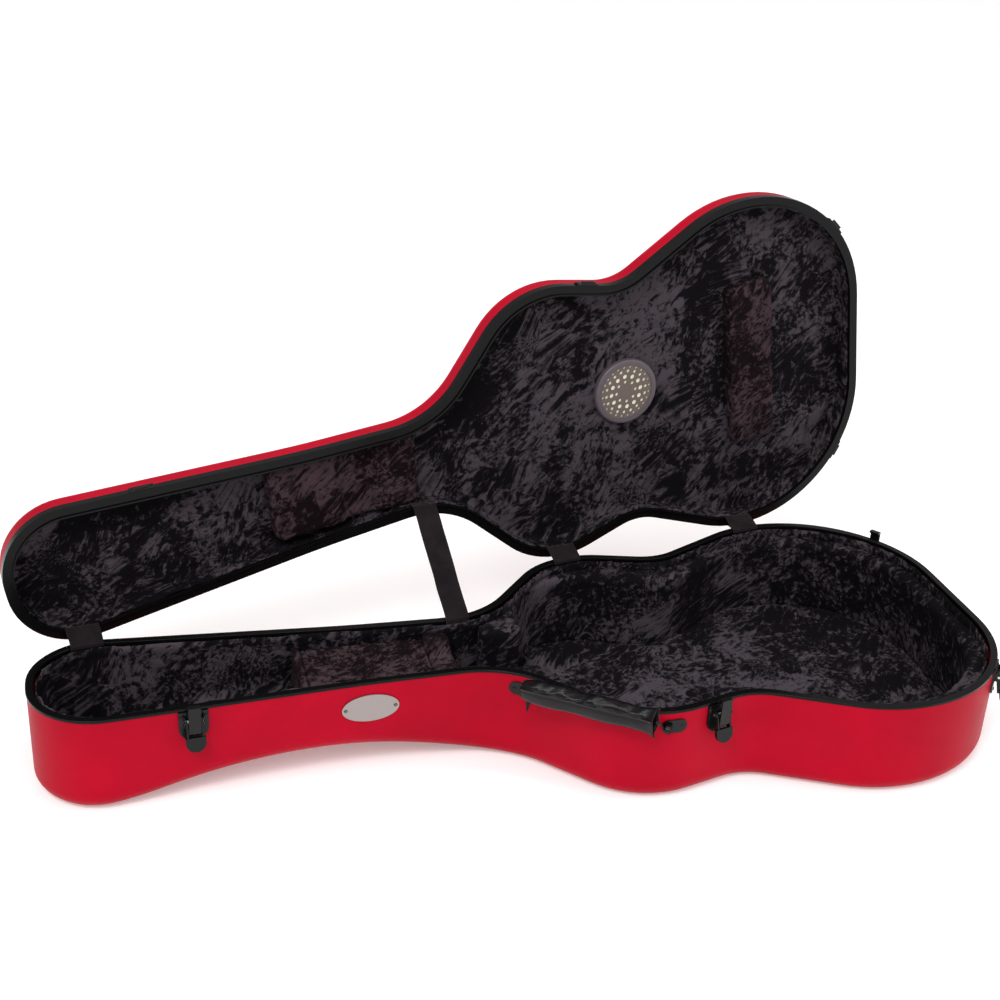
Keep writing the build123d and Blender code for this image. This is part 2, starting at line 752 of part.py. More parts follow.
# ---- Latches ----
pin_drop = -lever_pivot_drop
arm_outer = cheek_inner - arm_gap
arm_inner = arm_outer - arm_thickness
hook_axis_drop = -hook_pivot_drop
latch_pins = Part()
for latch_name, place in latch_places.items():
    locate, number, side, position = place
    plane = locate(number, side, position, mating_plane)
    side_plane = Plane(origin=plane.origin, x_dir=plane.z_dir, z_dir=-plane.x_dir)

    with BuildPart() as plate:
        add(ring(-latch_plate, 0, 0, wall_top))
        with BuildSketch(plane):
            with Locations((0, -latch_top)):
                Rectangle(latch_width, latch_length - latch_width / 2, align=(Align.CENTER, Align.MAX))
            with Locations((0, -latch_top - latch_length + latch_width / 2)):
                Circle(latch_width / 2)
        extrude(amount=4 * latch_plate, both=True, mode=Mode.INTERSECT)
        for end in (-1, 1):
            with BuildSketch(side_plane.offset(end * (cheek_inner + cheek_thickness / 2))):
                with Locations((lever_pivot_reach, pin_drop)):
                    Circle(lever_pin_radius + cheek_eye)
                with Locations((latch_plate - 0.5, pin_drop)):
                    cheek_run = lever_pivot_reach - latch_plate + 0.5
                    Rectangle(cheek_run, cheek_tall, align=(Align.MIN, Align.CENTER))
            extrude(amount=cheek_thickness / 2, both=True)
        with BuildSketch(side_plane):
            with Locations((lever_pivot_reach, pin_drop)):
                Circle(lever_pin_radius)
        extrude(amount=latch_width, both=True, mode=Mode.SUBTRACT)
        add(shanks(place, mating_plane, plate_rivets), mode=Mode.SUBTRACT)
    save(plate.part, f"latch_{latch_name}_plate")

    with BuildPart() as lever_pin:
        with BuildSketch(side_plane):
            with Locations((lever_pivot_reach, pin_drop)):
                Circle(lever_pin_radius)
        extrude(amount=cheek_inner + cheek_thickness, both=True)
    latch_pins += lever_pin.part

    lever_centre = plane.from_local_coords(Vector(0, pin_drop, lever_pivot_reach))
    hook_centre = plane.from_local_coords(Vector(0, hook_axis_drop, lever_pivot_reach))
    lever_axis = Axis(lever_centre, plane.x_dir)
    hook_axis = Axis(hook_centre, plane.x_dir)

    with BuildPart() as lever:
        for end in (-1, 1):
            with BuildSketch(side_plane.offset(end * (arm_inner + arm_outer) / 2)):
                with Locations((lever_pivot_reach, pin_drop)):
                    Circle(lever_pin_radius + lever_eye)
                with Locations((lever_pivot_reach, pin_drop)):
                    Rectangle(
                        2 * (lever_pin_radius + lever_eye),
                        paddle_top - lever_pivot_drop + paddle_thickness,
                        align=(Align.CENTER, Align.MAX),
                    )
            extrude(amount=arm_thickness / 2, both=True)
        with BuildSketch(plane.offset(lever_pivot_reach - 0.5)) as paddle:
            with Locations((0, -paddle_top)):
                Rectangle(2 * paddle_half, paddle_bottom - paddle_top, align=(Align.CENTER, Align.MAX))
            fillet(paddle.vertices().group_by(Axis.Y)[0], paddle_rounding)
        extrude(amount=paddle_thickness)
        with BuildSketch(side_plane):
            with Locations((lever_pivot_reach, pin_drop)):
                Circle(lever_pin_radius + running_gap)
            with Locations((lever_pivot_reach, hook_axis_drop)):
                Circle(trunnion_radius + running_gap)
        extrude(amount=latch_width, both=True, mode=Mode.SUBTRACT)
    save(lever.part.rotate(lever_axis, -released_angle), f"latch_{latch_name}_lever")

    with BuildPart() as hook:
        with BuildSketch(side_plane):
            with Locations((lever_pivot_reach, hook_axis_drop)):
                Circle(trunnion_radius)
        extrude(amount=arm_outer, both=True)
        with BuildSketch(side_plane):
            with Locations((lever_pivot_reach, hook_axis_drop)):
                Circle(hook_reach + hook_thickness - lever_pivot_reach)
            with Locations((hook_reach, hook_axis_drop)):
                hook_tall = hook_pivot_drop + claw_rise + claw_height
                Rectangle(hook_thickness, hook_tall, align=(Align.MIN, Align.MIN))
            with Locations((claw_tip_reach, claw_rise)):
                Rectangle(hook_reach - claw_tip_reach + 0.5, claw_height, align=(Align.MIN, Align.MIN))
        extrude(amount=hook_half, both=True)
    hooked = hook.part.rotate(hook_axis, released_angle * hook_ratio)
    save(hooked.rotate(lever_axis, -released_angle), f"latch_{latch_name}_hook")

    with BuildPart() as keeper:
        add(ring(-rim_proud - keeper_thickness, -rim_proud, lid_bottom + 0.5, lid_bottom + lid_band))
        with BuildSketch(plane):
            with Locations((0, lid_band / 2)):
                Rectangle(keeper_width, 2 * lid_band)
        extrude(amount=4 * catch_reach, both=True, mode=Mode.INTERSECT)
        with BuildSketch(plane.offset(rim_proud + keeper_thickness / 2)):
            with Locations((0, catch_rise)):
                Rectangle(catch_width, catch_height, align=(Align.CENTER, Align.MIN))
        extrude(amount=catch_reach - rim_proud - keeper_thickness / 2)
        add(shanks(place, mating_plane, keeper_rivets), mode=Mode.SUBTRACT)
    save(opened(keeper.part), f"latch_{latch_name}_keeper")
    all_rivets["base_rivets"].append(rivet(place, mating_plane, plate_rivets, latch_plate))
    all_rivets["lid_rivets"].append(rivet(place, mating_plane, keeper_rivets, rim_proud + keeper_thickness))
save(latch_pins, "latch_pins")

# ---- Carrying handle ----
leg = lug_length / 2 + handle_side_gap + handle_bar_radius
grip_length = handle_span - 2 * (leg + handle_bar_radius + soft_gap)
bar_turn = radians(handle_raise)
raised = handle_out * cos(bar_turn) + Vector(0, 0, 1) * sin(bar_turn)
bail_plane = Plane(origin=handle_pivot, x_dir=handle_run, z_dir=handle_run.cross(raised))
with BuildPart() as handle_bar:
    with BuildLine(bail_plane):
        FilletPolyline(
            (-lug_length / 2, 0),
            (leg, 0),
            (leg, handle_reach),
            (handle_span - leg, handle_reach),
            (handle_span - leg, 0),
            (handle_span + lug_length / 2, 0),
            radius=handle_bend,
        )
    with BuildSketch(Plane(origin=handle_pivot - handle_run * (lug_length / 2), z_dir=handle_run)):
        Circle(handle_bar_radius)
    sweep()
save(handle_bar.part, "handle_bar")

grip_centre = handle_pivot + handle_run * (handle_span / 2) + raised * handle_reach
with BuildPart() as handle_grip:
    with BuildSketch(Plane(origin=grip_centre, x_dir=raised, z_dir=handle_run)):
        RectangleRounded(grip_deep, grip_tall, grip_rounding)
        Circle(handle_bar_radius, mode=Mode.SUBTRACT)
    extrude(amount=grip_length / 2, both=True)
save(handle_grip.part, "handle_grip")

for bracket_name, place in handle_places.items():
    locate, number, side, turn = place
    plane = locate(number, side, turn, handle_height)
    outward = -1 if bracket_name == "start" else 1
    eye = handle_pivot + handle_run * (handle_span if outward > 0 else 0)
    with BuildPart() as bracket:
        add(ring(-bracket_plate, 0, 0, wall_top))
        with BuildSketch(plane):
            with Locations((outward * (bracket_tail - bracket_width / 2) / 2, 0)):
                SlotOverall(bracket_tail + bracket_width / 2 + 4, bracket_width)
        extrude(amount=bracket_width, both=True, mode=Mode.INTERSECT)
        with BuildSketch(Plane(origin=eye, x_dir=handle_out, z_dir=handle_run)):
            Circle(lug_radius)
            Rectangle(handle_standoff + bracket_plate, 2 * lug_radius, align=(Align.MAX, Align.CENTER))
        extrude(amount=lug_length / 2, both=True)
        with BuildSketch(Plane(origin=eye, x_dir=handle_out, z_dir=handle_run)):
            Circle(handle_bar_radius + running_gap)
        extrude(amount=lug_length, both=True, mode=Mode.SUBTRACT)
        with BuildSketch():
            add(outline())
        extrude(amount=base_depth, mode=Mode.SUBTRACT)
        add(shanks(place, handle_height, bracket_rivets[bracket_name]), mode=Mode.SUBTRACT)
    save(bracket.part, f"handle_{bracket_name}_bracket")
    all_rivets["base_rivets"].append(rivet(place, handle_height, bracket_rivets[bracket_name], bracket_plate))

# ---- Badge ----
with BuildPart() as badge_plate:
    add(ring(-badge_thickness, 0, 0, wall_top))
    with BuildSketch(on_corner(BEND, FRONT, badge_turn, badge_height)):
        Ellipse(badge_length / 2, badge_tall / 2)
    extrude(amount=badge_tall, both=True, mode=Mode.INTERSECT)
    add(shanks(badge_place, badge_height, badge_screw_places), mode=Mode.SUBTRACT)
save(badge_plate.part, "badge_plate")
save(rivet(badge_place, badge_height, badge_screw_places, badge_thickness), "badge_screws")

with BuildPart() as base_rivets:
    for group in all_rivets["base_rivets"]:
        add(group)
save(base_rivets.part, "base_rivets")

with BuildPart() as lid_rivets:
    for group in all_rivets["lid_rivets"]:
        add(group)
save(opened(lid_rivets.part), "lid_rivets")


# ---- Stay strap, taut while the lid is open, and the velvet covers of the hinges ----
def across_seam(place, base_inset, lid_inset, tab, thickness, width, name):
    """Ribbon from the inside of the base wall over both rims to the inside of the open lid."""
    locate, number, side, turn = place
    plane = locate(number, side, turn, hinge_height)
    gap = (hinge_foot - plane.origin).dot(hinge_normal)
    section = Plane(origin=plane.origin, x_dir=plane.z_dir, z_dir=-plane.x_dir)
    base_side = -base_inset - gap
    base_rise = mating_plane - hinge_height + thickness / 2 + strap_clearance
    lid_side = -lid_inset - gap
    lid_rise = lid_bottom - tongue_depth - hinge_height - thickness / 2 - strap_clearance
    with BuildPart() as band:
        with BuildSketch(section):
            with BuildLine():
                path = [
                    (gap + base_side, base_rise - tab),
                    (gap + base_side, base_rise),
                    (gap + lid_rise, -lid_side),
                    (gap + lid_rise + tab, -lid_side),
                ]
                Polyline(*path)
            trace(line_width=thickness)
        extrude(amount=width / 2, both=True)
    save(band.part, name)


def behind(radius, inset, width):
    """Inset of the middle of a flat ribbon whose edges clear the inside of a rounded wall."""
    return radius - sqrt((radius - inset) ** 2 - (width / 2) ** 2)


inside_base = base_rim_width + strap_thickness / 2 + strap_clearance
inside_lid = lid_rim_width + strap_thickness / 2 + strap_clearance
strap_place = (on_corner, NECK, BACK, seam_turn)
across_seam(strap_place, inside_base, inside_lid, strap_tab, strap_thickness, strap_width, "stay_strap")
for hinge_name, place in hinge_places.items():
    cover_name = f"hinge_{hinge_name}_cover"
    base_inset = behind(radii[place[1]], inside_base, cover_width)
    lid_inset = behind(radii[place[1]], inside_lid, cover_width)
    across_seam(place, base_inset, lid_inset, cover_tab, cover_thickness, cover_width, cover_name)
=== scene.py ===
import json
from math import cos, pi, radians, sin

import bmesh
import bpy
import numpy as np
from mathutils import Matrix, Vector, noise


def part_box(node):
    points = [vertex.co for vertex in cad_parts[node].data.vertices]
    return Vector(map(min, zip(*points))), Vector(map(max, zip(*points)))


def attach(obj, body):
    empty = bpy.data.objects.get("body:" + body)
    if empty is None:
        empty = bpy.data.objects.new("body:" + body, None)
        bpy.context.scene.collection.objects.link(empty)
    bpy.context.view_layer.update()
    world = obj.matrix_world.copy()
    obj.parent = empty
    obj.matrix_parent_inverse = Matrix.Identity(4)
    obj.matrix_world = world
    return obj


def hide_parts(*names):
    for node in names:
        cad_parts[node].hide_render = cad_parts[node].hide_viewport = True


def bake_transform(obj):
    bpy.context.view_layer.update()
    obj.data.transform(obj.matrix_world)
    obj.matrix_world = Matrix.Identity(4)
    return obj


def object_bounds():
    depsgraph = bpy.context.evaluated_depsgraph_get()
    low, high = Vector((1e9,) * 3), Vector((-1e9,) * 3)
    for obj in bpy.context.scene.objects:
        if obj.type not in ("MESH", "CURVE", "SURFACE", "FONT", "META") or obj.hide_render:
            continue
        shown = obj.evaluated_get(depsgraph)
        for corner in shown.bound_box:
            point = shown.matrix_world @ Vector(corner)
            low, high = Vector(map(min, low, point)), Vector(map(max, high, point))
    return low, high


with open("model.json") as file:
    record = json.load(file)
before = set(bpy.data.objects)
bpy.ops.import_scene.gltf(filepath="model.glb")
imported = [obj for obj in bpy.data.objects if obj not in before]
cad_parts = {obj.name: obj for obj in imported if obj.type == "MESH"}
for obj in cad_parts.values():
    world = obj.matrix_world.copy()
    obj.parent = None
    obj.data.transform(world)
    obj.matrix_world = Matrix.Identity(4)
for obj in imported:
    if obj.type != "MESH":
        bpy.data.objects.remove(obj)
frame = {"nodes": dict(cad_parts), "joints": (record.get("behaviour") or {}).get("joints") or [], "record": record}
nodes = frame["nodes"]
joints = {joint["name"]: joint for joint in frame["joints"]}
cad_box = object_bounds()

# The lid is worked on closed, where its inside faces down, and then turned back to where it stands open.
hinge = joints["lid_hinge"]
hinge_point = Vector(hinge["pos_m"])
hinge_line = Vector(hinge["axis"]).normalized()
closing = radians(hinge["range_deg"][1])
UP = Vector((0, 0, 1))


def about_hinge(angle):
    turn = Matrix.Rotation(angle, 4, hinge_line)
    return Matrix.Translation(hinge_point) @ turn @ Matrix.Translation(-hinge_point)


TO_CLOSED = about_hinge(closing)
TO_OPEN = about_hinge(-closing)


# ---- Materials ----
class Surface:
    """A Principled material and the few procedural nodes that give it grain."""

    def __init__(self, name, colour, roughness, **inputs):
        self.material = bpy.data.materials.new(name)
        self.material.use_nodes = True
        self.tree = self.material.node_tree
        self.shader = self.tree.nodes["Principled BSDF"]
        self.shader.inputs["Base Color"].default_value = (*colour, 1)
        self.shader.inputs["Roughness"].default_value = roughness
        for key, value in inputs.items():
            self.shader.inputs[key.replace("_", " ")].default_value = value
        self.place = self.tree.nodes.new("ShaderNodeTexCoord").outputs["Object"]
        self.last_bump = None

    def add(self, kind, **settings):
        node = self.tree.nodes.new(kind)
        for key, value in settings.items():
            setattr(node, key, value)
        return node

    def link(self, output, target):
        self.tree.links.new(output, target)

    def noise(self, scale, detail=4, rough=0.55, distortion=0.0, place=None):
        node = self.add("ShaderNodeTexNoise")
        node.inputs["Scale"].default_value = scale
        node.inputs["Detail"].default_value = detail
        node.inputs["Roughness"].default_value = rough
        node.inputs["Distortion"].default_value = distortion
        self.link(place or self.place, node.inputs["Vector"])
        return node.outputs["Fac"]

    def cells(self, scale):
        node = self.add("ShaderNodeTexVoronoi", feature="F1")
        node.inputs["Scale"].default_value = scale
        self.link(self.place, node.inputs["Vector"])
        return node.outputs["Distance"]

    def maths(self, kind, operation, *values):
        """Output of a maths node, whose inputs are each linked to a socket or set to a constant."""
        node = self.add(kind, operation=operation)
        for socket, value in zip(node.inputs, values):
            if isinstance(value, bpy.types.NodeSocket):
                self.link(value, socket)
            else:
                socket.default_value = value
        return node.outputs[0]

    def stretched(self, scale):
        node = self.add("ShaderNodeMapping")
        node.inputs["Scale"].default_value = scale
        self.link(self.place, node.inputs["Vector"])
        return node.outputs["Vector"]

    def ramp(self, value, stops):
        node = self.add("ShaderNodeValToRGB")
        band = node.color_ramp
        while len(band.elements) < len(stops):
            band.elements.new(0.5)
        for element, (position, colour) in zip(band.elements, stops):
            element.position = position
            element.color = (*colour, 1)
        self.link(value, node.inputs["Fac"])
        return node.outputs["Color"]

    def bump(self, height, distance, strength=1.0):
        node = self.add("ShaderNodeBump")
        node.inputs["Distance"].default_value = distance
        node.inputs["Strength"].default_value = strength
        self.link(height, node.inputs["Height"])
        if self.last_bump:
            self.link(self.last_bump, node.inputs["Normal"])
        self.last_bump = node.outputs["Normal"]
        self.link(self.last_bump, self.shader.inputs["Normal"])

    def colour(self, output):
        self.link(output, self.shader.inputs["Base Color"])

    def roughness(self, value, low, high):
        node = self.add("ShaderNodeMapRange")
        node.inputs["To Min"].default_value = low
        node.inputs["To Max"].default_value = high
        self.link(value, node.inputs["Value"])
        self.link(node.outputs["Result"], self.shader.inputs["Roughness"])


def grey(value):
    return (value, value, value)


def crimson():
    surface = Surface("crimson_shell", (0.38, 0.0008, 0.014), 0.42, Specular_IOR_Level=0.06)
    cloud = surface.noise(9, 3)
    surface.colour(surface.ramp(cloud, [(0.3, (0.33, 0.0006, 0.012)), (0.7, (0.42, 0.0008, 0.016))]))
    surface.roughness(surface.noise(60, 5), 0.36, 0.48)
    surface.bump(surface.noise(900, 3), 0.0004, 0.35)
    return surface.material


def black_rim():
    surface = Surface("black_rim", grey(0.003), 0.24, Specular_IOR_Level=0.14)
    surface.roughness(surface.noise(70, 4), 0.18, 0.28)
    surface.bump(surface.noise(500, 3), 0.0003, 0.3)
    return surface.material


def plush(name, dark, light, patch=24):
    """Crushed plush: each patch of pile leans its own way, in a fan of fine streaks; the pattern is the pile's
    own, and its lighter streaks are painted sheen in the base colour, standing in for pile that catches the light.
    """
    vector_maths, edge_push, root_spread = "ShaderNodeVectorMath", (0.045,) * 3, (0.16,) * 3
    balance, threshold, middle_share = -0.81, 0.5, 0.35
    surface = Surface(name, dark, 0.9, Sheen_Weight=0.08, Sheen_Roughness=0.45, Specular_IOR_Level=0.08)
    surface.shader.inputs["Sheen Tint"].default_value = (*light, 1)
    drift = surface.add("ShaderNodeTexNoise")
    drift.inputs["Scale"].default_value = patch * 1.2
    drift.inputs["Detail"].default_value = 3
    surface.link(surface.place, drift.inputs["Vector"])
    pushed = surface.maths(vector_maths, "MULTIPLY_ADD", drift.outputs["Color"], edge_push, surface.place)
    cell = surface.add("ShaderNodeTexVoronoi", feature="F1")
    cell.inputs["Scale"].default_value = patch
    surface.link(pushed, cell.inputs["Vector"])
    cell_tint, cell_middle = cell.outputs["Color"], cell.outputs["Position"]
    root = surface.maths(vector_maths, "MULTIPLY_ADD", cell_tint, root_spread, cell_middle)
    ray = surface.maths(vector_maths, "SUBTRACT", surface.place, root)
    fan = surface.maths(vector_maths, "NORMALIZE", ray)
    streaks = surface.noise(30, detail=5, rough=0.7, place=fan)
    tufts = surface.noise(130, detail=4, rough=0.6, distortion=0.6)
    cloud = surface.noise(11, detail=3, rough=0.55, distortion=0.6)
    shade = balance
    for output, weight in ((streaks, 1.35), (tufts, 0.35), (cloud, 0.75), (cell.outputs["Distance"], 0.20)):
        shade = surface.maths("ShaderNodeMath", "MULTIPLY_ADD", output, weight, shade)
    # The base colour runs from the dark pile to the light streaks: the pattern is real, its light end is painted
    # sheen.
    middle = tuple(a + (b - a) * middle_share for a, b in zip(dark, light))
    stops = [(threshold - 0.03, dark), (threshold + 0.05, middle), (threshold + 0.16, light)]
    surface.colour(surface.ramp(shade, stops))
    surface.bump(shade, 0.0025, 0.7)
    surface.bump(surface.noise(900, 3, 0.7), 0.0008, 0.5)
    return surface.material


def die_cast():
    surface = Surface("black_die_cast", grey(0.004), 0.2, Specular_IOR_Level=0.24)
    surface.roughness(surface.noise(160, 4), 0.16, 0.34)
    surface.bump(surface.noise(700, 3), 0.0003, 0.3)
    return surface.material


def metal(name, colour, roughness):
    surface = Surface(name, colour, roughness, Metallic=1.0)
    brushed = surface.noise(160, 5, place=surface.stretched((1, 1, 14)))
    surface.roughness(brushed, roughness * 0.75, roughness * 1.3)
    surface.bump(brushed, 0.0002, 0.25)
    return surface.material


def leather():
    surface = Surface("black_leather", (0.004, 0.003, 0.004), 0.22, Specular_IOR_Level=0.18)
    surface.roughness(surface.noise(90, 5), 0.16, 0.30)
    surface.bump(surface.noise(30, 4, 0.55, 1.5), 0.003, 0.35)
    surface.bump(surface.cells(520), 0.0003, 0.3)
    return surface.material


def woven(name, colour):
    surface = Surface(name, colour, 0.85, Sheen_Weight=0.06, Sheen_Roughness=0.5, Specular_IOR_Level=0.1)
    surface.bump(surface.noise(900, 3), 0.001, 0.6)
    surface.bump(surface.noise(60, 4, distortion=1.5), 0.004, 0.6)
    worn = tuple(2.2 * channel for channel in colour)
    surface.colour(surface.ramp(surface.noise(45, 5), [(0.35, colour), (0.7, worn)]))
    return surface.material


def moulded(name, colour, roughness):
    surface = Surface(name, colour, roughness)
    surface.roughness(surface.noise(120, 4), roughness * 0.85, roughness * 1.2)
    surface.bump(surface.noise(1500, 2), 0.0002, 0.4)
    return surface.material


def foam():
    # The emission is painted light: the sponge glows a little, brighter than the lamps make it in its recess.
    surface = Surface("sponge", (0.50, 0.45, 0.30), 0.9, Emission_Strength=0.25)
    surface.shader.inputs["Emission Color"].default_value = (1, 0.93, 0.72, 1)
    pores = [(0.3, (0.80, 0.74, 0.52)), (0.7, (0.95, 0.92, 0.74))]
    surface.colour(surface.ramp(surface.noise(500, 4), pores))
    surface.bump(surface.cells(900), 0.001, 0.8)
    return surface.material


SHELL = crimson()
RIM = black_rim()
VELVET = plush("velvet", (0.0028, 0.0022, 0.0030), (0.058, 0.047, 0.056))
BROWN = plush("plush_brown", (0.005, 0.002, 0.003), (0.050, 0.031, 0.037), 34)
CAST = die_cast()
STEEL = metal("steel", grey(0.6), 0.28)
NICKEL = metal("nickel", (0.32, 0.29, 0.28), 0.36)
LEATHER = leather()
RIBBON = woven("ribbon", (0.006, 0.004, 0.005))
DISC = moulded("disc_plastic", (0.085, 0.068, 0.080), 0.42)
GRILLE = moulded("grille_plastic", (0.125, 0.095, 0.085), 0.5)
SPONGE = foam()
SCREW = metal("dark_screw", grey(0.12), 0.35)

FINISH = {
    "red_shell": SHELL,
    "black_rim": RIM,
    "velvet": VELVET,
    "plush_brown": BROWN,
    "black_metal": CAST,
    "steel": STEEL,
    "nickel": NICKEL,
    "leather": LEATHER,
    "ribbon": RIBBON,
    "disc_plastic": DISC,
    "sponge": SPONGE,
}
slots = {part["node"]: part["material_slot"] for part in frame["record"]["subparts"]}
for name, node in nodes.items():
    for material_slot in node.material_slots:
        material_slot.material = FINISH[slots[name]]
for name in ("base_rivets", "lid_rivets", "handle_bar", "compartment_hinge_pin"):
    nodes[name].material_slots[0].material = CAST
nodes["humidifier_grille"].material_slots[0].material = GRILLE
nodes["badge_screws"].material_slots[0].material = SCREW


# ---- Mesh helpers ----
def placed(name, data):
    """New object in the scene with the given mesh, light or camera."""
    item = bpy.data.objects.new(name, data)
    bpy.context.scene.collection.objects.link(item)
    return item


def piece_from(mesh_source, name):
    """New object with a copy of a mesh, welded so that it is one skin."""
    mesh = mesh_source.copy()
    mesh.name = name
    body = bmesh.new()
    body.from_mesh(mesh)
    bmesh.ops.remove_doubles(body, verts=body.verts, dist=1e-5)
    body.to_mesh(mesh)
    body.free()
    return placed(name, mesh)


def settle(item):
    """Apply every modifier of a piece."""
    graph = bpy.context.evaluated_depsgraph_get()
    graph.update()
    mesh = bpy.data.meshes.new_from_object(item.evaluated_get(graph))
    item.modifiers.clear()
    item.data = mesh


def remeshed(item, voxel):
    change = item.modifiers.new("remesh", "REMESH")
    change.mode = "VOXEL"
    change.voxel_size = voxel
    settle(item)


def smoothed(item, rounds):
    change = item.modifiers.new("smooth", "SMOOTH")
    change.iterations = rounds
    change.factor = 0.5
    settle(item)


def points(item):
    co = np.empty(len(item.data.vertices) * 3)
    item.data.vertices.foreach_get("co", co)
    return co.reshape(-1, 3)


def move(item, co):
    item.data.vertices.foreach_set("co", np.asarray(co, float).ravel())
    item.data.update()


def normals(item):
    co = np.empty(len(item.data.vertices) * 3)
    item.data.vertices.foreach_get("normal", co)
    return co.reshape(-1, 3)


def crumple(point, size, seed):
    """Height, mostly within 1 of zero, of soft folds that are drawn out in drifting directions."""
    shift = Vector((seed * 7.1, seed * 3.3, seed * 5.7))
    drift = noise.noise_vector(point / (size * 2.2) + shift) * size * 0.9
    q = (point + drift) / size + shift
    fold = 1 - 2 * abs(noise.noise(Vector((q.x, q.y * 1.7, q.z * 0.8))))
    small = noise.noise(q * 2.3)
    return 0.75 * fold + 0.45 * small - 0.25


def crushed(item, amount, size, seed, hold=None):
    """Push the skin in and out along its normals, as pile that was crushed does."""
    co, normal = points(item), normals(item)
    height = np.array([crumple(Vector(p), size, seed) for p in co])
    if hold is not None:
        height = height * hold(co)
    move(item, co + normal * (height * amount)[:, None])


def finish(item, material, body, replaced):
    item.data.materials.clear()
    item.data.materials.append(material)
    for polygon in item.data.polygons:
        polygon.use_smooth = True
    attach(item, body)
    if replaced:
        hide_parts(*replaced)


def plush_block(
    node, body, voxel, amount, size, seed, material=VELVET, rounding=4, closed=False
):
    """A foam piece under plush: its edges are rolled and its skin is crushed."""
    item = piece_from(nodes[node].data, node + "_plush")
    if closed:
        item.data.transform(TO_CLOSED)
    remeshed(item, voxel)
    smoothed(item, rounding)
    crushed(item, amount, size, seed)
    if closed:
        item.data.transform(TO_OPEN)
    finish(item, material, body, [node])


def inner_skin(node, closed, voxel, name):
    """The visible side of a lining, as an even mesh that is open at the rim."""
    level, cap_depth, cap_slope = 1e-4, voxel * 0.9, 0.7
    item = piece_from(nodes[node].data, name)
    if closed:
        item.data.transform(TO_CLOSED)
    co = points(item)
    rim = co[:, 2].min() if closed else co[:, 2].max()
    body = bmesh.new()
    body.from_mesh(item.data)
    flat = [f for f in body.faces if all(abs(v.co.z - rim) < level for v in f.verts)]
    bmesh.ops.delete(body, geom=flat, context="FACES")
    seen, shells = set(), []
    for start in body.verts:
        if start in seen or not start.link_faces:
            continue
        shell, todo = [], [start]
        seen.add(start)
        while todo:
            vert = todo.pop()
            shell.append(vert)
            for edge in vert.link_edges:
                other = edge.other_vert(vert)
                if other not in seen:
                    seen.add(other)
                    todo.append(other)
        shells.append(shell)
    reach = [max(v.co.x for v in shell) for shell in shells]
    outer = shells[reach.index(max(reach))]
    bmesh.ops.delete(body, geom=outer, context="VERTS")
    edges = [edge for edge in body.edges if edge.is_boundary]
    bmesh.ops.contextual_create(body, geom=edges)
    bmesh.ops.triangulate(body, faces=body.faces)
    bmesh.ops.recalc_face_normals(body, faces=body.faces)
    body.to_mesh(item.data)
    body.free()
    remeshed(item, voxel)
    body = bmesh.new()
    body.from_mesh(item.data)
    near_rim = [face for face in body.faces if abs(face.calc_center_median().z - rim) < cap_depth]
    cap = [face for face in near_rim if abs(face.normal.z) > cap_slope]
    bmesh.ops.delete(body, geom=cap, context="FACES")
    bmesh.ops.reverse_faces(body, faces=body.faces)
    body.to_mesh(item.data)
    body.free()
    return item


def reach_rim(item, height):
    """Carry the open edge of a skin straight on to the cap of the rim, over its flange."""
    body = bmesh.new()
    body.from_mesh(item.data)
    edges = [edge for edge in body.edges if edge.is_boundary]
    grown = bmesh.ops.extrude_edge_only(body, edges=edges)["geom"]
    for vert in grown:
        if isinstance(vert, bmesh.types.BMVert):
            vert.co.z = height
    bmesh.ops.recalc_face_normals(body, faces=body.faces)
    body.to_mesh(item.data)
    body.free()


def pressed(co):
    """Share of its fullness that the pile keeps: below none beside the box's lid, which leans there."""
    low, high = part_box("compartment_lid")
    margin, pressed_share = 0.012, -0.35
    beside = (co[:, 0] > low.x - margin) & (co[:, 0] < high.x + margin) & (co[:, 1] > high.y - margin)
    return np.where(beside, pressed_share, 1.0)


def lining(node, body, closed, voxel, amount, size, seed, rim_height):
    """The plush skin of a shell: crushed, carried on to the rim and given the thickness of its cloth."""
    item = inner_skin(node, closed, voxel, node + "_plush")
    crushed(item, amount, size, seed, pressed)
    co, normal = points(item), normals(item)
    move(item, co + normal * (amount * pressed(co))[:, None])
    reach_rim(item, rim_height)
    thick = item.modifiers.new("thick", "SOLIDIFY")
    thick.thickness = lining_thickness
    thick.offset = -1
    settle(item)
    if closed:
        item.data.transform(TO_OPEN)
    finish(item, VELVET, body, [node])


def sliced(item, ways, step):
    """Cut a flat-sided piece into an even grid by planes across each of the given directions."""
    body = bmesh.new()
    body.from_mesh(item.data)
    bmesh.ops.dissolve_limit(body, angle_limit=radians(1), verts=body.verts, edges=body.edges)
    for way in ways:
        reach = [vert.co.dot(way) for vert in body.verts]
        low, high = min(reach), max(reach)
        count = max(2, round((high - low) / step))
        for number in range(1, count):
            place = way * (low + (high - low) * number / count)
            geometry = body.verts[:] + body.edges[:] + body.faces[:]
            bmesh.ops.bisect_plane(body, geom=geometry, plane_co=place, plane_no=way, dist=1e-6)
    body.to_mesh(item.data)
    body.free()


def waved(item, amount, size, seed):
    """Let a thin strip wander a little, both faces together."""
    shift = Vector((seed * 4.7, seed * 2.9, seed * 6.1))
    co = points(item)
    move(item, [Vector(p) + noise.noise_vector(Vector(p) / size + shift) * amount for p in co])


def ribbon(node, ways, seed, amount=0.0012):
    """A strip of woven tape where the CAD strip lies, with a soft wave in it."""
    item = piece_from(nodes[node].data, node + "_tape")
    sliced(item, ways, tape_grid)
    waved(item, amount, tape_wave, seed)
    item.data.materials.clear()
    item.data.materials.append(RIBBON)
    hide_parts(node)
    return item


def seam_tape(node, seed):
    """A strip that joins the base to the lid, made as woven tape where the CAD strip lies."""
    item = ribbon(node, (hinge_line, UP, hinge_line.cross(UP)), seed)
    co = points(item)
    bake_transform(item)


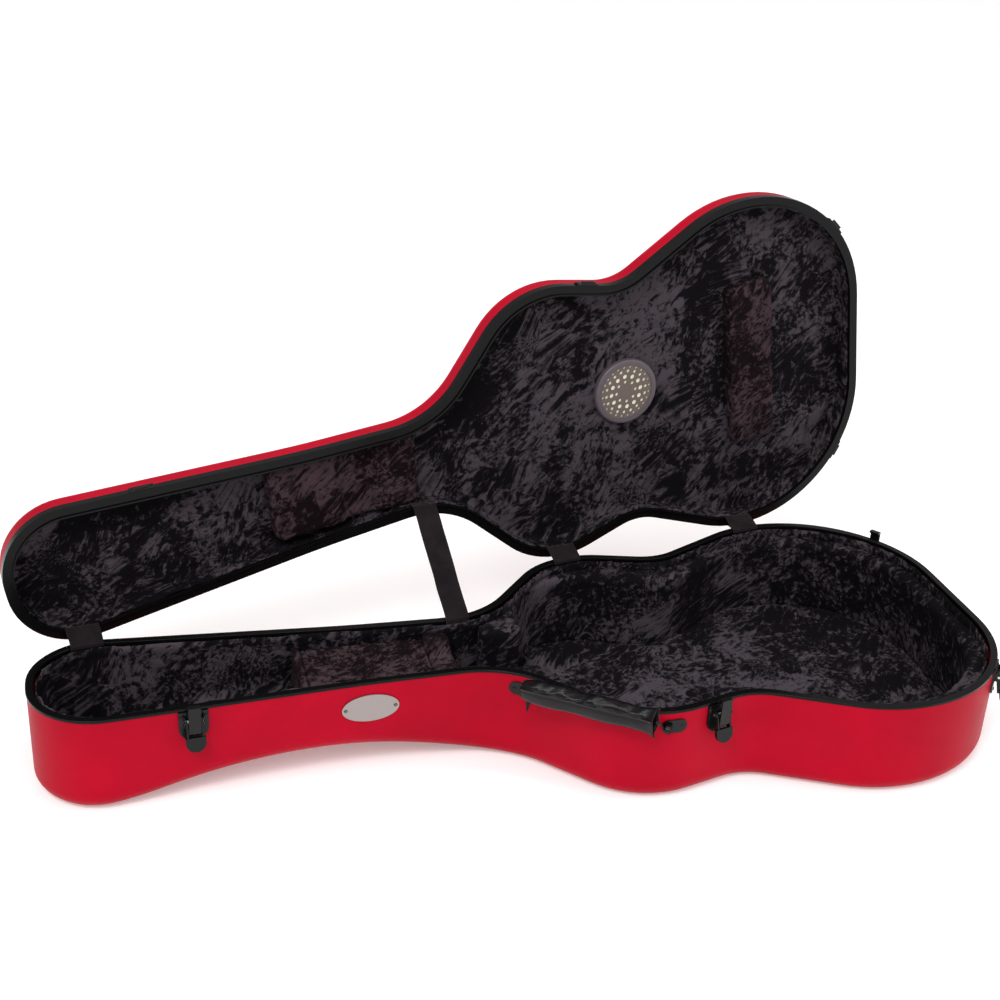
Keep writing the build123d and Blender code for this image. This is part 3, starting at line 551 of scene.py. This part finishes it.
mating_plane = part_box("base_rim")[1].z
rim_cap = 0.003
lid_edge_gap, base_edge_gap = 0.0006, 0.0002
lid_rim_height = mating_plane + rim_cap + lid_edge_gap
base_rim_height = mating_plane - rim_cap - base_edge_gap
lining_thickness = 0.0015
tape_grid, tape_wave, sewn_share = 0.0025, 0.03, 0.15

# The numbers are the voxel, the depth and the size of the folds, and the seed, then rounds of smoothing.
lining("lid_lining", "lid", True, 0.0042, 0.0022, 0.030, 1, lid_rim_height)
lining("base_lining", "base", False, 0.006, 0.0018, 0.032, 2, base_rim_height)
plush_block("side_foam", "base", 0.005, 0.0016, 0.030, 3)
plush_block("bed_pad", "base", 0.006, 0.0016, 0.036, 4)
plush_block("neck_rest", "base", 0.004, 0.0012, 0.024, 5, BROWN)
plush_block("compartment_wall", "base", 0.0026, 0.0006, 0.02, 6, BROWN, 3)
plush_block("front_rail", "base", 0.0026, 0.0003, 0.02, 7, BROWN, 2)
plush_block("neck_pad", "lid", 0.004, 0.0016, 0.026, 8, BROWN, 8, closed=True)
plush_block("bridge_pad", "lid", 0.004, 0.0016, 0.026, 9, BROWN, 8, closed=True)
plush_block("back_rail", "base", 0.0026, 0.0003, 0.02, 10, BROWN, 2)
plush_block("compartment_lid", "compartment_lid", 0.0014, 0.0004, 0.02, 11, BROWN, 2)
seam_tape("stay_strap", 12)
seam_tape("hinge_head_cover", 13)
seam_tape("hinge_upper_cover", 14)
seam_tape("hinge_lower_cover", 15)
pull = ribbon("pull_ribbon", (Vector((1, 0, 0)), UP, Vector((0, 1, 0))), 16, 0.0004)
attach(pull, "compartment_lid")

# ---- Leather sleeve of the handle ----
handle = joints["handle_swing"]
pivot = Vector(handle["pos_m"])
along_handle = Vector(handle["axis"]).normalized()
grip_points = points(nodes["handle_grip"])
grip_centre = Vector(grip_points.mean(axis=0))
grip_reach = (grip_points - np.array(grip_centre)) @ np.array(along_handle)
grip_half = float(abs(grip_reach).max())
span_middle = pivot + along_handle * (grip_centre - pivot).dot(along_handle)
outward = (grip_centre - span_middle).normalized()
level_out = Vector((outward.x, outward.y, 0)).normalized()
crease_rise = radians(30)
upper_way = level_out * cos(crease_rise + pi / 4) + UP * sin(crease_rise + pi / 4)
front_way = level_out * cos(crease_rise - pi / 4) + UP * sin(crease_rise - pi / 4)
sleeve_half = 0.0110
sleeve_steps, sleeve_ring = 132, 96
sleeve_boxiness, mouth_boxing = 0.55, 0.35
upper_fullness = 1.02
welt_rise, welt_share, welt_sharpness = 0.0018, 0.7, 90
mouth_flare, mouth_sharpness = 0.16, 14
closed_taper, closed_sharpness = 0.22, 9
sway, sway_rate = 0.04, 8
belly_depth, belly_middle, belly_reach = 0.0014, 0.35, 0.6
wall_trim = 0.26
mouth_cut, cut_start, cut_run = 0.006, 0.8, 0.2
mouth_reach = 0.004
leg_slot, slot_start = 0.004, 0.5
ripple_depth, fold_depth, swell_depth, end_ripple_depth = 0.0008, 0.0009, 0.0007, 0.0005
leather_thickness = 0.002


def signed_power(value, power):
    return abs(value) ** power * (1 if value > 0 else -1)


def sleeve_point(turn, share):
    """Point of the leather sleeve: a soft square section with a welt along the corner that faces out."""
    front, upper = cos(turn), sin(turn)
    facing_out = cos(turn - pi / 4)
    welt = max(0.0, facing_out) ** welt_sharpness
    mouth = max(0.0, share) ** mouth_sharpness
    closed_end = max(0.0, -share) ** closed_sharpness
    belly = belly_depth * max(0.0, 1 - ((share - belly_middle) / belly_reach) ** 2)
    size = sleeve_half * (1 + mouth_flare * mouth - closed_taper * closed_end + sway * sin(share * sway_rate))
    wall_side = max(0.0, -facing_out) ** 0.5
    size = size * (1 - wall_trim * wall_side)
    power = sleeve_boxiness * (1 - mouth_boxing * mouth)
    raised = welt * welt_rise * welt_share
    hanging = belly * max(0.0, -upper)
    front_reach = signed_power(front, power) * size + raised - hanging
    upper_reach = signed_power(upper, power) * size * upper_fullness + raised - hanging
    cut = mouth_cut * max(0.0, share - cut_start) / cut_run * (0.5 + 0.5 * facing_out)
    slot = leg_slot * wall_side * max(0.0, share - slot_start) / (1 - slot_start)
    along = share * grip_half - cut + (mouth_reach * max(0.0, share) - slot)
    return grip_centre + along_handle * along + front_way * front_reach + upper_way * upper_reach


def around(count):
    """The turns of a ring of evenly spaced points."""
    return [2 * pi * spoke / count for spoke in range(count)]


def tube(name, rings, capped=False):
    """New object with a skin over rings of points that all hold the same number of points."""
    count = len(rings[0])
    faces = []
    for step in range(len(rings) - 1):
        for spoke in range(count):
            first = step * count + spoke
            second = step * count + (spoke + 1) % count
            faces.append((first, second, second + count, first + count))
    if capped:
        last_ring = (len(rings) - 1) * count
        faces.append(tuple(reversed(range(count))))
        faces.append(tuple(range(last_ring, last_ring + count)))
    mesh = bpy.data.meshes.new(name)
    mesh.from_pydata([tuple(point) for ring in rings for point in ring], [], faces)
    return placed(name, mesh)


sleeve_shares = [2 * step / sleeve_steps - 1 for step in range(sleeve_steps + 1)]
sleeve_rings = [[sleeve_point(turn, share) for turn in around(sleeve_ring)] for share in sleeve_shares]
sleeve = tube("handle_sleeve", sleeve_rings)
co, normal = points(sleeve), normals(sleeve)
if np.dot(normal[0], np.array(grip_centre) - co[0]) > 0:
    sleeve.data.flip_normals()
    normal = -normal
wrinkle = []
for place, facing in zip(co, normal):
    offset = Vector(place) - grip_centre
    length = offset.dot(along_handle)
    side = offset.dot(front_way)
    end = min(1.0, (abs(length) / grip_half) ** 4)
    upper_face = max(0.0, Vector(facing).dot(upper_way)) ** 2
    ripples = noise.noise(Vector((length * 95 + side * 45, side * 70, 3.1)))
    folds = 1 - 2 * abs(noise.noise(Vector((length * 38 - side * 30, side * 40, 8.3))))
    swell = noise.noise(Vector((length * 20, side * 25, offset.dot(upper_way) * 25)))
    creases = upper_face * (ripple_depth * ripples + fold_depth * folds)
    wrinkle.append(creases + swell_depth * swell + end_ripple_depth * end * ripples)
move(sleeve, co + normal * np.array(wrinkle)[:, None])
wall = sleeve.modifiers.new("wall", "SOLIDIFY")
wall.thickness = leather_thickness
wall.offset = -1
settle(sleeve)
finish(sleeve, LEATHER, "handle", ["handle_grip"])

# The pointed end of the lacing strip hangs from the closed end of the sleeve.
tang_root = grip_centre - along_handle * (grip_half * 0.9)
tang_root += (front_way * 0.3 - upper_way * 0.5) * sleeve_half
tang_length, tang_half, tang_thick = 0.019, 0.0034, 0.0008
tang_taper, tang_tip, tang_bow = 0.7, 0.0002, 0.0012
tang_down = (front_way * 0.15 - UP).normalized()
tang_front = along_handle.cross(tang_down).normalized()
tang_steps, tang_ring = 14, 12
tang_rings = []
for step in range(tang_steps + 1):
    share = step / tang_steps
    half = tang_half * (1 - share) ** tang_taper + tang_tip
    middle = tang_root + tang_down * (tang_length * share) + tang_front * (tang_bow * sin(share * pi))
    ring = []
    for turn in around(tang_ring):
        ring.append(middle + along_handle * (half * cos(turn)) + tang_front * (tang_thick * sin(turn)))
    tang_rings.append(ring)
tang = tube("handle_tang", tang_rings, capped=True)
finish(tang, LEATHER, "handle", [])

# ---- Light, floor and camera ----
floor_half, floor_drop = 60, 0.0005
floor_corners = [(x * floor_half, y * floor_half, 0) for x, y in ((-1, -1), (1, -1), (1, 1), (-1, 1))]
floor_mesh = bpy.data.meshes.new("floor")
floor_mesh.from_pydata(floor_corners, [], [(0, 1, 2, 3)])
floor = placed("floor", floor_mesh)
floor_surface = Surface("floor", grey(0.9), 0.85, Emission_Strength=0.22)
floor_surface.shader.inputs["Emission Color"].default_value = (1, 1, 1, 1)
floor_mesh.materials.append(floor_surface.material)
floor.location.z = cad_box[0].z - floor_drop

world = bpy.data.worlds.new("studio")
world.use_nodes = True
sky = world.node_tree.nodes["Background"].inputs
sky["Color"].default_value = (1, 1, 1, 1)
sky["Strength"].default_value = 0.42
bpy.context.scene.world = world


def lamp(name, place, aim, size, power):
    light = bpy.data.lights.new(name, "AREA")
    light.shape = "RECTANGLE"
    light.size, light.size_y = size
    light.energy = power
    item = placed(name, light)
    item.location = place
    item.rotation_euler = (Vector(aim) - Vector(place)).to_track_quat("-Z", "Y").to_euler()


def sun(name, direction, strength, spread):
    """Wide even light that reaches the far floor as well."""
    light = bpy.data.lights.new(name, "SUN")
    light.energy = strength
    light.angle = radians(spread)
    item = placed(name, light)
    item.rotation_euler = Vector(direction).to_track_quat("-Z", "Y").to_euler()


lamp("key", (-1.2, -1.6, 2.4), (0, 0, 0.1), (0.9, 0.5), 24)
lamp("fill", (2.2, -1.4, 1.2), (0, 0, 0.2), (1.4, 1.0), 8)
lamp("top", (0.2, 0.6, 2.8), (0, 0.1, 0.1), (2.0, 0.4), 22)
sun("sun_left", (0.5, 0.7, -1.0), 1.3, 40)
sun("sun_right", (-0.7, 0.6, -0.9), 0.6, 60)

camera_place = Vector((-0.4629, -1.4698, 1.0305))
camera_yaw, camera_pitch, camera_roll = 0.2939, 0.4681, 0.0551
focal_share, sensor_width = 1.5809, 36
level_share = cos(camera_pitch)
forward = Vector((sin(camera_yaw) * level_share, cos(camera_yaw) * level_share, -sin(camera_pitch)))
right = forward.cross(UP).normalized()
up = right.cross(forward)
right, up = right * cos(camera_roll) + up * sin(camera_roll), up * cos(camera_roll) - right * sin(camera_roll)
camera_data = bpy.data.cameras.new("camera")
camera_data.sensor_width = sensor_width
camera_data.lens = sensor_width * focal_share
camera_data.shift_x = -0.0165
camera_data.shift_y = 0.0279
camera = placed("camera", camera_data)
camera.matrix_world = Matrix.Translation(camera_place) @ Matrix((right, up, -forward)).transposed().to_4x4()
bpy.context.scene.camera = camera
bpy.context.scene.view_settings.view_transform = "Standard"
